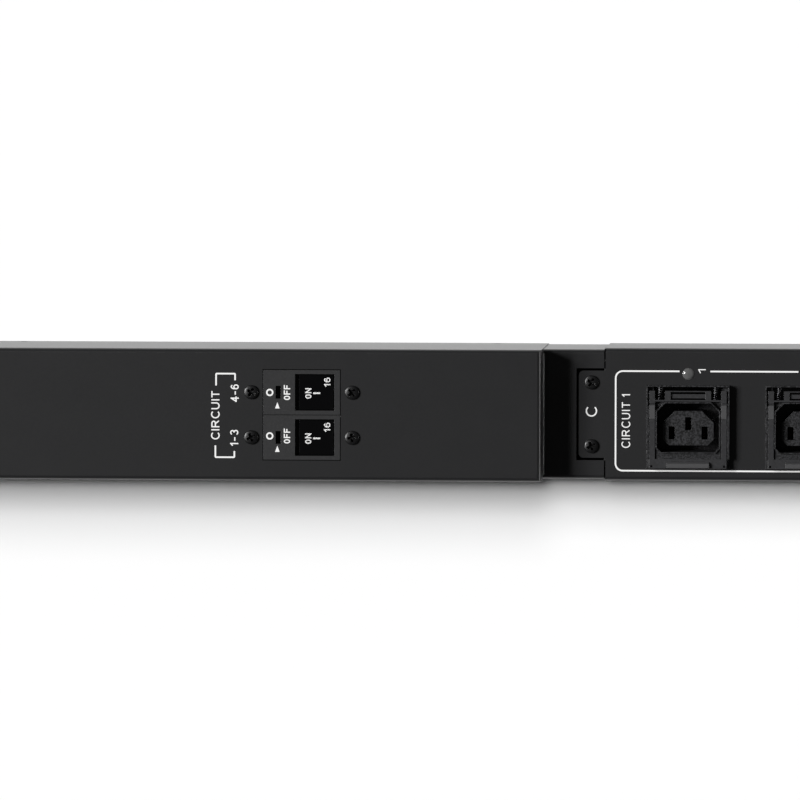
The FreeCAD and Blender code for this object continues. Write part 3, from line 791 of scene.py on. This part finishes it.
    def camera(self) -> None:
        """Long lens that looks down on the strip from a little to its right and behind."""
        slopes = (math.tan(math.radians(tilt)) for tilt in (self.tilt_x_deg, self.tilt_y_deg))
        back = Vector((*slopes, 1)).normalized()
        lens = bpy.data.cameras.new("camera")
        lens.lens = self.lens_mm
        lens.sensor_width = self.sensor_mm
        lens.clip_end = self.sight_m
        eye = bpy.data.objects.new("camera", lens)
        right = (-back).cross(Vector((0, 1, 0))).normalized()
        up = right.cross(-back)
        turn = Matrix((right, up, back)).transposed().to_4x4()
        place = Matrix.Translation(Vector(self.target_mm) * MM + back * self.distance_m)
        eye.matrix_world = place @ turn @ Matrix.Rotation(math.radians(self.roll_deg), 4, "Z")
        bpy.context.scene.collection.objects.link(eye)
        bpy.context.scene.camera = eye


@dataclass
class Covers:
    """Folded steel covers and the tray behind them, whose bends are round as they stand."""

    nodes: tuple[str, ...] = ("breaker_cover", "outlet_cover", "chassis_tray")

    def dress(self) -> None:
        """Coat the covers and the tray."""
        for node in self.nodes:
            dress(node, POWDER_COAT)


@dataclass
class Ends:
    """Moulded end caps, with softened edges, and the cable gland in the left one."""

    caps: tuple[str, ...] = ("left_end_cap", "right_end_cap")
    gland: tuple[str, ...] = ("gland_body", "gland_nut", "gland_locknut")
    cap_edge_mm: float = 0.3

    def dress(self) -> None:
        """Finish the caps and the three pieces of the gland."""
        for node in self.caps:
            dress(node, CAP_ABS, self.cap_edge_mm)
        for node in self.gland:
            dress(node, GLAND_NYLON)


@dataclass
class InnerWorks:
    """Brackets, copper bars, blades and the lamp board inside the strip."""

    brackets: tuple[str, ...] = ("bridge_bracket", "end_bracket")
    bars: tuple[str, ...] = ("busbar_line_1", "busbar_line_2", "busbar_neutral", "busbar_earth")
    blades: str = "breaker_terminals"
    board: str = "indicator_board"
    bracket_edge_mm: float = 0.15

    def dress(self) -> None:
        """Finish what the covers hide or show through their openings."""
        # The brackets' black is painted shade for the gaps where they show.
        for node in self.brackets:
            dress(node, BRACKET_BLACK_AS_SHADE, self.bracket_edge_mm)
        for node in (*self.bars, self.blades):
            dress(node, BAR_COPPER)
        dress(self.board, BOARD_RESIST)


@dataclass
class BreakerPair:
    """Two guarded rocker breakers with their printed marks, measured from each face's middle."""

    edge_mm: float = 0.06
    ring_x: float = -13.55
    ring_mm: float = 3.15
    ring_line_mm: float = 0.65
    off: Words = Words("OFF", (-6.2, 0.0), 2.75, 6.35, Cut.BOLD)
    arrow: tuple[float, float] = (-10.3, -5.45)
    arrow_mm: tuple[float, float] = (1.95, 2.65)
    guard_lift_mm: tuple[float, ...] = (0.62, -0.1)
    on: Words = Words("ON", (2.8, -0.48), 2.7, 4.45, Cut.BOLD)
    bar_at: tuple[float, float] = (6.4, -0.4)
    bar_mm: tuple[float, float] = (3.0, 0.7)
    rating: Words = Words("16", (10.85, 4.23), 2.7, 4.1, Cut.BOLD)
    slope_deg: float = 8.0
    rocker_start_x: float = -1.0
    rocker_drop: float = 0.6

    def dress(self) -> None:
        """Finish the cases and the rockers."""
        for number in range(1, BREAKER_COUNT + 1):
            dress(f"breaker_body_{number}", BREAKER_PA, self.edge_mm)
            dress(f"breaker_rocker_{number}", ROCKER_PC, self.edge_mm)

    def build(self) -> None:
        """Print the marks of both breakers."""
        for number in range(1, BREAKER_COUNT + 1):
            node = f"breaker_body_{number}"
            origin = middle(node)
            origin.z = top(node)
            lifted = origin + Vector((0, self.guard_lift_mm[number - 1], 0))
            self.guard_marks(number, Face(lifted, Vector((1, 0, 0)), Vector((0, 1, 0))))
            fall = math.radians(self.slope_deg)
            start = origin + Vector((self.rocker_start_x, 0, -self.rocker_drop))
            along = Vector((math.cos(fall), 0, -math.sin(fall)))
            self.rocker_marks(number, Face(start - along * self.rocker_start_x, along, Vector((0, 1, 0))))

    def guard_marks(self, number: int, face: Face) -> None:
        """Ring, arrow and OFF beside the tool slot.

        Args:
            number: Number of the breaker.
            face: Front of its case.
        """
        x, y = self.arrow
        half_x, half_y = self.arrow_mm[0] / 2, self.arrow_mm[1] / 2
        reach = (self.ring_mm - self.ring_line_mm) / 2
        halves = oval((self.ring_x, 0.0), (reach, reach))
        shapes = [PRINTER.stroke(half, self.ring_line_mm) for half in halves]
        shapes.append([(x - half_x, y - half_y), (x + half_x, y - half_y), (x, y + half_y)])
        PRINTER.lay(f"breaker_{number}_marks", shapes, face)
        PRINTER.letters(f"breaker_{number}_off", self.off, face)

    def rocker_marks(self, number: int, face: Face) -> None:
        """ON, its bar and the rating on the rocker.

        Args:
            number: Number of the breaker.
            face: Sloping front of its rocker.
        """
        body = f"rocker_{number}"
        (x, y), (length, width) = self.bar_at, self.bar_mm
        bar = PRINTER.stroke([(x - (length - width) / 2, y), (x + (length - width) / 2, y)], width)
        PRINTER.lay(f"rocker_{number}_bar", [bar], face, body)
        PRINTER.letters(f"rocker_{number}_on", self.on, face, body)
        PRINTER.letters(f"rocker_{number}_rating", self.rating, face, body)


@dataclass
class LockingOutlet:
    """One outlet: its body, its sliding lock frame and the two coil springs between them."""

    number: int
    edge_mm: float = 0.06
    wire_mm: float = 0.42
    coil_turns: float = 6.5
    closed_ends: float = 0.03
    spring_mm: float = 3.2
    spring_spread_mm: float = 23.6
    post_mm: float = 1.7
    post_length_mm: float = 3.4
    post_nose: float = 0.4
    post_steps: int = 20
    steps_per_turn: int = 20
    wire_sides: int = 8

    def dress(self) -> None:
        """Finish the body and the lock frame."""
        dress(f"outlet_body_{self.number}", OUTLET_PA, self.edge_mm)
        dress(f"lock_frame_{self.number}", LOCK_POM, self.edge_mm)

    def build(self) -> None:
        """Wind the springs and set the posts inside them."""
        node = f"lock_springs_{self.number}"
        low, high = (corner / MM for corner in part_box(node))
        height = (low.z + high.z) / 2
        coils, posts = [], []
        for side in (-1, 1):
            x = middle(node).x + side * self.spring_spread_mm / 2
            coils.append(self.coil(Vector((x, low.y, height)), high.y - low.y))
            posts.append(self.post(Vector((x, high.y, height))))
        springs = add_piece(f"coil_springs_{self.number}", to_mesh(combine(coils), smooth=True), SPRING_WIRE,
                            replaces=(node,))
        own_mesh(springs)
        add_piece(f"spring_posts_{self.number}", to_mesh(combine(posts)), OUTLET_PA)

    def coil(self, start: Vector, length: float) -> bmesh.types.BMesh:
        """Helix of wire along Y.

        Args:
            start: Middle of its lower end.
            length: Its length at rest.

        Returns:
            Closed mesh in millimetres.
        """
        count = int(self.coil_turns * self.steps_per_turn)
        radius = (self.spring_mm - self.wire_mm) / 2
        rise = length - self.wire_mm
        path = []
        for k in range(count + 1):
            share = k / count
            # The end turns lie almost closed, as on a ground spring.
            lift = share - self.closed_ends * math.sin(2 * math.pi * share)
            turn = 2 * math.pi * self.coil_turns * share
            path.append(start + Vector((radius * math.cos(turn), self.wire_mm / 2 + rise * lift,
                                        radius * math.sin(turn))))
        return tube(path, self.wire_mm / 2, self.wire_sides)

    def post(self, seat: Vector) -> bmesh.types.BMesh:
        """Peg on the head wall that keeps a spring in line.

        Args:
            seat: Middle of its foot.

        Returns:
            Closed mesh in millimetres.
        """
        radius = self.post_mm / 2
        nose = radius * self.post_nose
        profile = [(0.0, 0.0), (radius, 0.0), (radius, self.post_length_mm - nose),
                   (radius - nose, self.post_length_mm), (0.0, self.post_length_mm)]
        bm = revolve(profile, self.post_steps)
        bm.transform(Matrix.Translation(seat) @ Matrix.Rotation(math.pi / 2, 4, "X"))
        return bm


@dataclass
class Lamps:
    """Indicator lenses along the outlet cover."""

    diameter_mm: float = 5.0
    rise_mm: float = 0.9
    lip_mm: float = 0.3
    lip_round_mm: float = 0.1
    pipe_mm: float = 2.8
    lamp_y_mm: float = 17.35
    dome_step_deg: float = 9.0
    steps: int = 40

    def build(self) -> None:
        """Set a domed lens with a moulded lip and a square light pipe at each outlet."""
        radius = self.diameter_mm / 2
        lens = radius - self.lip_mm
        dome = arc((0.0, self.lip_mm), (lens, self.rise_mm - self.lip_mm), 0, 90, self.dome_step_deg)
        profile = [(0.0, 0.0), (radius, 0.0), (radius, self.lip_mm - self.lip_round_mm),
                   (radius - self.lip_round_mm, self.lip_mm), *dome[:-1], (0.0, self.rise_mm)]
        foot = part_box("indicator_lenses")[0].z / MM
        face = top("outlet_cover")
        lenses = []
        for number in range(1, OUTLET_COUNT + 1):
            x = middle(f"outlet_body_{number}").x
            bm = revolve(profile, self.steps)
            bm.transform(Matrix.Translation((x, self.lamp_y_mm, face)))
            pipe = bmesh.new()
            bmesh.ops.create_cube(pipe, size=1.0)
            reach = Matrix.Diagonal((self.pipe_mm, self.pipe_mm, face - foot, 1))
            pipe.transform(Matrix.Translation((x, self.lamp_y_mm, (face + foot) / 2)) @ reach)
            lenses += [bm, pipe]
        add_piece("indicator_domes", to_mesh(combine(lenses), smooth=True), LENS_PC,
                  replaces=("indicator_lenses",))


@dataclass(frozen=True)
class RangeMark:
    """Circuits that one breaker feeds, with the line beside them. Places run from the step."""

    name: str
    words: Words
    line: tuple[tuple[float, float], ...]


@dataclass
class FrontPrint:
    """Circuit frames and names on the outlet cover, and the breakers' circuits on the housing."""

    outlets_per_circuit: int = 2
    frame_left: float = 30.9
    frame_right: float = 21.7
    frame_top: float = 18.45
    frame_bottom: float = -24.0
    frame_corner: float = 3.0
    gap_before: float = 4.1
    gap_after: float = 9.7
    number_shift: float = 5.8
    number_cap: float = 3.2
    number_length: float = 1.9
    name_shift: float = 4.4
    name_y: float = -2.85
    name_length: float = 22.9
    cap_mm: float = 3.5
    foot_mm: float = 26.0
    housing_name: Words = Words("CIRCUIT", (-138.5, -0.33), 3.45, 20.6, Cut.MEDIUM)
    ranges: tuple[RangeMark, ...] = (
        RangeMark("upper", Words("4-6", (-130.25, 9.12), 3.5, 7.5, Cut.MEDIUM),
                  ((-138.2, 12.7), (-138.2, 17.4), (-130.1, 17.4), (-130.1, 14.95))),
        RangeMark("lower", Words("1-3", (-130.45, -9.97), 3.5, 7.0, Cut.MEDIUM),
                  ((-138.5, -13.5), (-138.5, -18.15), (-130.4, -18.15), (-130.4, -15.85))),
    )
    range_corner: float = 0.36
    bank: Words = Words("C", (5.4, 1.1), 4.5, 4.3)

    def build(self) -> None:
        """Print the outlet cover, its tab and the housing."""
        flat = (Vector((1, 0, 0)), Vector((0, 1, 0)))
        cover = Face(Vector((0, 0, top("outlet_cover"))), *flat)
        for circuit in range(OUTLET_COUNT // self.outlets_per_circuit):
            self.circuit(circuit, cover)
        tab_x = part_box("outlet_cover")[0].x / MM
        PRINTER.letters("bank_letter", self.bank, Face(cover.origin + Vector((tab_x, 0, 0)), *flat))
        step_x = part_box("breaker_cover")[1].x / MM - self.foot_mm
        self.housing_marks(Face(Vector((step_x, 0, top("breaker_cover"))), *flat))

    def circuit(self, circuit: int, face: Face) -> None:
        """Frame, name and outlet numbers of one circuit.

        Args:
            circuit: Place of the circuit along the cover, from zero.
            face: Front of the outlet cover.
        """
        numbers = [circuit * self.outlets_per_circuit + k + 1 for k in range(self.outlets_per_circuit)]
        places = [middle(f"outlet_body_{n}").x for n in numbers]
        left, right = places[0] - self.frame_left, places[-1] + self.frame_right
        gaps = [(x - self.gap_before, x + self.gap_after) for x in places]
        runs = [[(gaps[0][0], self.frame_top), (left, self.frame_top), (left, self.frame_bottom),
                 (right, self.frame_bottom), (right, self.frame_top), (gaps[-1][1], self.frame_top)]]
        runs += [[(a[1], self.frame_top), (b[0], self.frame_top)] for a, b in zip(gaps, gaps[1:])]
        outlines = [PRINTER.stroke(PRINTER.rounded(run, self.frame_corner), PRINTER.line_mm) for run in runs]
        PRINTER.lay(f"circuit_{circuit + 1}_frame", outlines, face)
        name_at = (left + self.name_shift, self.name_y)
        name = Words(f"CIRCUIT {circuit + 1}", name_at, self.cap_mm, self.name_length)
        PRINTER.letters(f"circuit_{circuit + 1}_name", name, face)
        for number, x in zip(numbers, places):
            figures = str(number)
            at = (x + self.number_shift, self.frame_top)
            words = Words(figures, at, self.number_cap, self.number_length * len(figures))
            PRINTER.letters(f"outlet_{number}_number", words, face)

    def housing_marks(self, face: Face) -> None:
        """Which circuits each breaker feeds.

        Args:
            face: Front of the breaker housing, with its origin at the step.
        """
        PRINTER.letters("housing_circuit", self.housing_name, face)
        for mark in self.ranges:
            PRINTER.letters(f"housing_{mark.name}_range", mark.words, face)
            line = PRINTER.rounded(list(mark.line), self.range_corner)
            PRINTER.lay(f"housing_{mark.name}_line", [PRINTER.stroke(line, PRINTER.line_mm)], face)


class Head(Enum):
    """Form of a screw's head."""

    PAN = "crowned head that stands on the sheet"
    FLUSH = "countersunk head that lies in the sheet"


@dataclass
class ScrewSet:
    """Four screws of one node, set at the corners of a rectangle, with cross recesses."""

    node: str
    head: Head
    places: list[Vector]
    axes: list[Vector]
    head_mm: float = 6.0
    rise_mm: float = 1.3
    crown_mm: float = 0.5
    shank_mm: float = 3.0
    shank_length_mm: float = 6.0
    sink_mm: float = 1.1
    recess_mm: float = 4.3
    recess_width_mm: float = 1.3
    recess_depth_mm: float = 1.9
    recess_taper: float = 0.55
    edge_mm: float = 0.06
    first_turn_deg: float = 23.0
    turn_step_deg: float = 37.0
    crown_steps: int = 8
    steps: int = 40

    def profile(self) -> Outline:
        """Half section of a screw.

        Returns:
            Points from the tip to the top of the head.
        """
        radius, shank = self.head_mm / 2, self.shank_mm / 2
        shaft = [(0.0, -self.shank_length_mm), (shank, -self.shank_length_mm)]
        if self.head is Head.FLUSH:
            return [*shaft, (shank, -self.sink_mm), (radius, 0.0), (0.0, 0.0)]
        side = self.rise_mm - self.crown_mm
        crown = arc((0.0, side), (radius, self.crown_mm), 0, 90, 90 / self.crown_steps)
        return [*shaft, (shank, 0.0), (radius, 0.0), *crown[:-1], (0.0, self.rise_mm)]

    def cutter(self) -> bmesh.types.BMesh:
        """Cross recess, tapered to its floor.

        Returns:
            Two crossed bars in millimetres.
        """
        face = 0.0 if self.head is Head.FLUSH else self.rise_mm
        half, thin = self.recess_mm / 2, self.recess_width_mm / 2
        bars = []
        for reach_x, reach_y in ((half, thin), (thin, half)):
            bm = bmesh.new()
            bmesh.ops.create_cube(bm, size=2.0)
            for vert in bm.verts:
                upper = vert.co.z > 0
                share = 1.0 if upper else self.recess_taper
                level = face + self.crown_mm if upper else face - self.recess_depth_mm
                vert.co = Vector((vert.co.x * reach_x * share, vert.co.y * reach_y * share, level))
            bars.append(bm)
        return combine(bars)

    def screw(self) -> bpy.types.Mesh:
        """One screw on the Z axis.

        Returns:
            Its mesh in metres.
        """
        blank = bpy.data.objects.new("blank", to_mesh(revolve(self.profile(), self.steps), smooth=True))
        tool = bpy.data.objects.new("tool", to_mesh(self.cutter()))
        for helper in (blank, tool):
            bpy.context.scene.collection.objects.link(helper)
        cut = blank.modifiers.new("recess", "BOOLEAN")
        cut.object = tool
        cut.use_self = True
        bpy.context.view_layer.update()
        mesh = bpy.data.meshes.new_from_object(blank.evaluated_get(bpy.context.evaluated_depsgraph_get()))
        for helper in (blank, tool):
            bpy.data.objects.remove(helper)
        return mesh

    def build(self) -> None:
        """Place a screw at each of its holes, each stopped at another turn."""
        one = self.screw()
        bm = bmesh.new()
        for index, (place, axis) in enumerate(zip(self.places, self.axes)):
            copy = one.copy()
            turn = Matrix.Rotation(math.radians(self.first_turn_deg + self.turn_step_deg * index), 4, "Z")
            aim = Vector((0, 0, 1)).rotation_difference(axis).to_matrix().to_4x4()
            copy.transform(Matrix.Translation(place * MM) @ aim @ turn)
            bm.from_mesh(copy)
            bpy.data.meshes.remove(copy)
        mesh = bpy.data.meshes.new(self.node)
        bm.to_mesh(mesh)
        bm.free()
        piece = add_piece(self.node + "_cross_recess", mesh, SCREW_OXIDE,
                          replaces=(self.node,))
        soften(piece, self.edge_mm)


@dataclass
class Fasteners:
    """Screws of the breakers, of the outlet cover and of the breaker cover's skirts."""

    breaker_spread: tuple[float, float] = (42.9, 19.2)
    cover_spread: tuple[float, float] = (662.7, 27.2)
    side_spread: float = 206.0
    side_head_mm: float = 5.6
    side_shank_mm: float = 2.8
    side_recess_mm: float = 3.2

    def build(self) -> None:
        """Place every screw."""
        corners = [(u, v) for u in (-1, 1) for v in (-1, 1)]
        up = [Vector((0, 0, 1))] * len(corners)
        for node, sheet, spread in (("breaker_screws", "breaker_cover", self.breaker_spread),
                                    ("cover_screws", "outlet_cover", self.cover_spread)):
            centre = middle(node)
            places = [Vector((centre.x + u * spread[0] / 2, centre.y + v * spread[1] / 2, top(sheet)))
                      for u, v in corners]
            ScrewSet(node, Head.PAN, places, up).build()
        centre = middle("side_screws")
        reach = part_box("side_screws")[1].y / MM
        places = [Vector((centre.x + u * self.side_spread / 2, v * reach, centre.z)) for u, v in corners]
        outward = [Vector((0, v, 0)) for _, v in corners]
        ScrewSet("side_screws", Head.FLUSH, places, outward, head_mm=self.side_head_mm,
                 shank_mm=self.side_shank_mm, recess_mm=self.side_recess_mm).build()


def main() -> None:
    """Build and dress every sub-assembly in order."""
    logging.basicConfig(level=logging.INFO, format="%(name)s: %(message)s")
    Stage().build()
    Covers().dress()
    Ends().dress()
    InnerWorks().dress()
    breakers = BreakerPair()
    breakers.dress()
    breakers.build()
    for number in range(1, OUTLET_COUNT + 1):
        outlet = LockingOutlet(number)
        outlet.dress()
        outlet.build()
    Lamps().build()
    FrontPrint().build()
    Fasteners().build()


if __name__ == "__main__":
    main()
